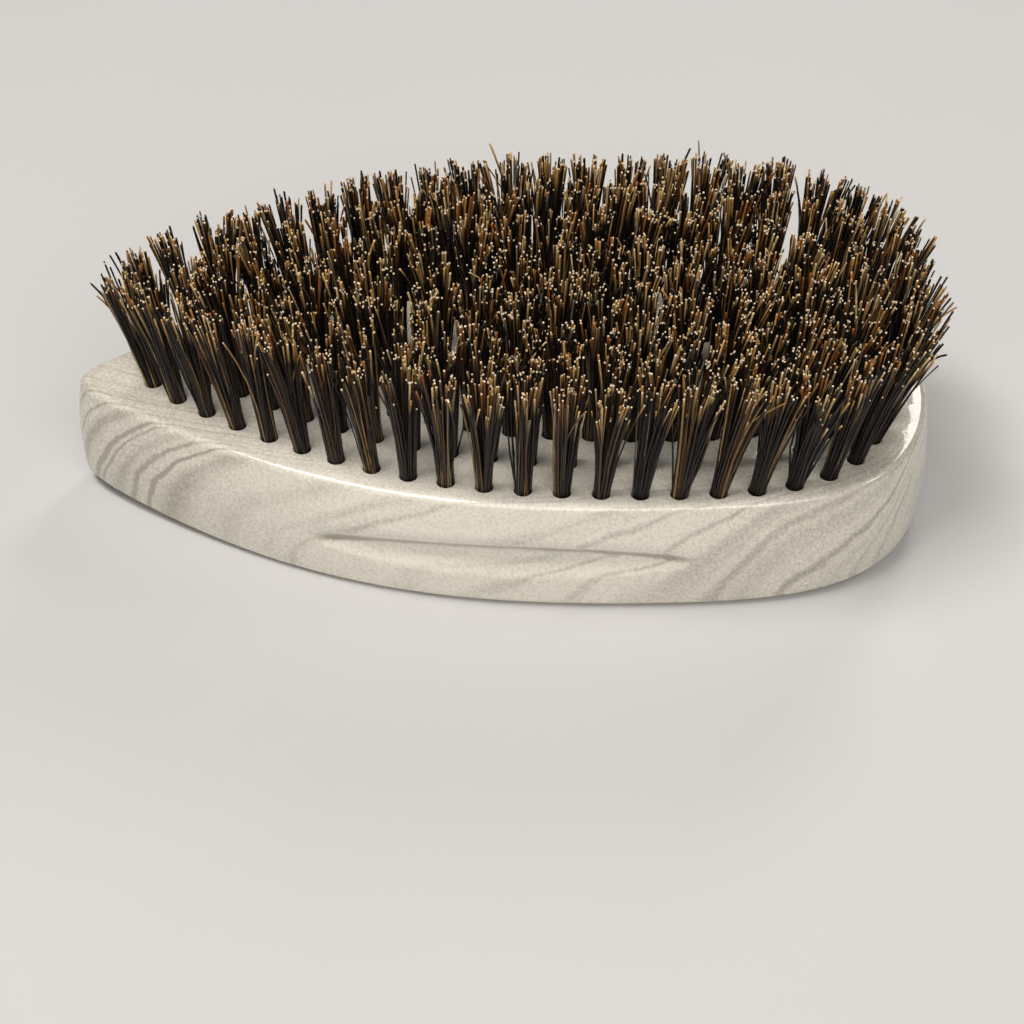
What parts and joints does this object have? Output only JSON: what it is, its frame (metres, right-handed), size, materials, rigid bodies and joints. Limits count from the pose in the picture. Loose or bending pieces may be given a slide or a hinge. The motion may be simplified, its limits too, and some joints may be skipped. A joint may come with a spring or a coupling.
{
  "type": "beard brush",
  "caption": "Pear-shaped palm brush with a marbled lacquered block, finger grooves in its sides and fanned tufts of stiff natural bristle.",
  "frame": {"origin": "on the flat back, under the middle of the brush's length and width", "axes": "+Z from the back towards the bristle tips, +X along the length towards the broad end"},
  "size_m": [0.1202, 0.0576, 0.0366],
  "materials": {
    "block_lacquer": "gloss",
    "bristle": "satin"
  },
  "bodies": {
    "root": {"block": "block_lacquer", "tufts_centre_01": "bristle", "tufts_centre_02": "bristle", "tufts_inner_01": "bristle", "tufts_inner_02": "bristle", "tufts_inner_03": "bristle", "tufts_inner_04": "bristle", "tufts_inner_05": "bristle", "tufts_inner_06": "bristle", "tufts_narrow_01": "bristle", "tufts_outer_01": "bristle", "tufts_outer_02": "bristle", "tufts_outer_03": "bristle", "tufts_outer_04": "bristle", "tufts_outer_05": "bristle", "tufts_outer_06": "bristle", "tufts_outer_07": "bristle", "tufts_outer_08": "bristle", "tufts_outer_09": "bristle", "tufts_outer_10": "bristle", "tufts_outer_11": "bristle", "tufts_outer_12": "bristle", "tufts_outer_13": "bristle", "tufts_outer_14": "bristle", "tufts_outer_15": "bristle", "tufts_outer_16": "bristle", "tufts_second_01": "bristle", "tufts_second_02": "bristle", "tufts_second_03": "bristle", "tufts_second_04": "bristle", "tufts_second_05": "bristle", "tufts_second_06": "bristle", "tufts_second_07": "bristle", "tufts_second_08": "bristle", "tufts_second_09": "bristle", "tufts_second_10": "bristle", "tufts_second_11": "bristle", "tufts_second_12": "bristle", "tufts_second_13": "bristle", "tufts_third_01": "bristle", "tufts_third_02": "bristle", "tufts_third_03": "bristle", "tufts_third_04": "bristle", "tufts_third_05": "bristle", "tufts_third_06": "bristle", "tufts_third_07": "bristle", "tufts_third_08": "bristle", "tufts_third_09": "bristle", "tufts_third_10": "bristle"}
  },
  "joints": []
}
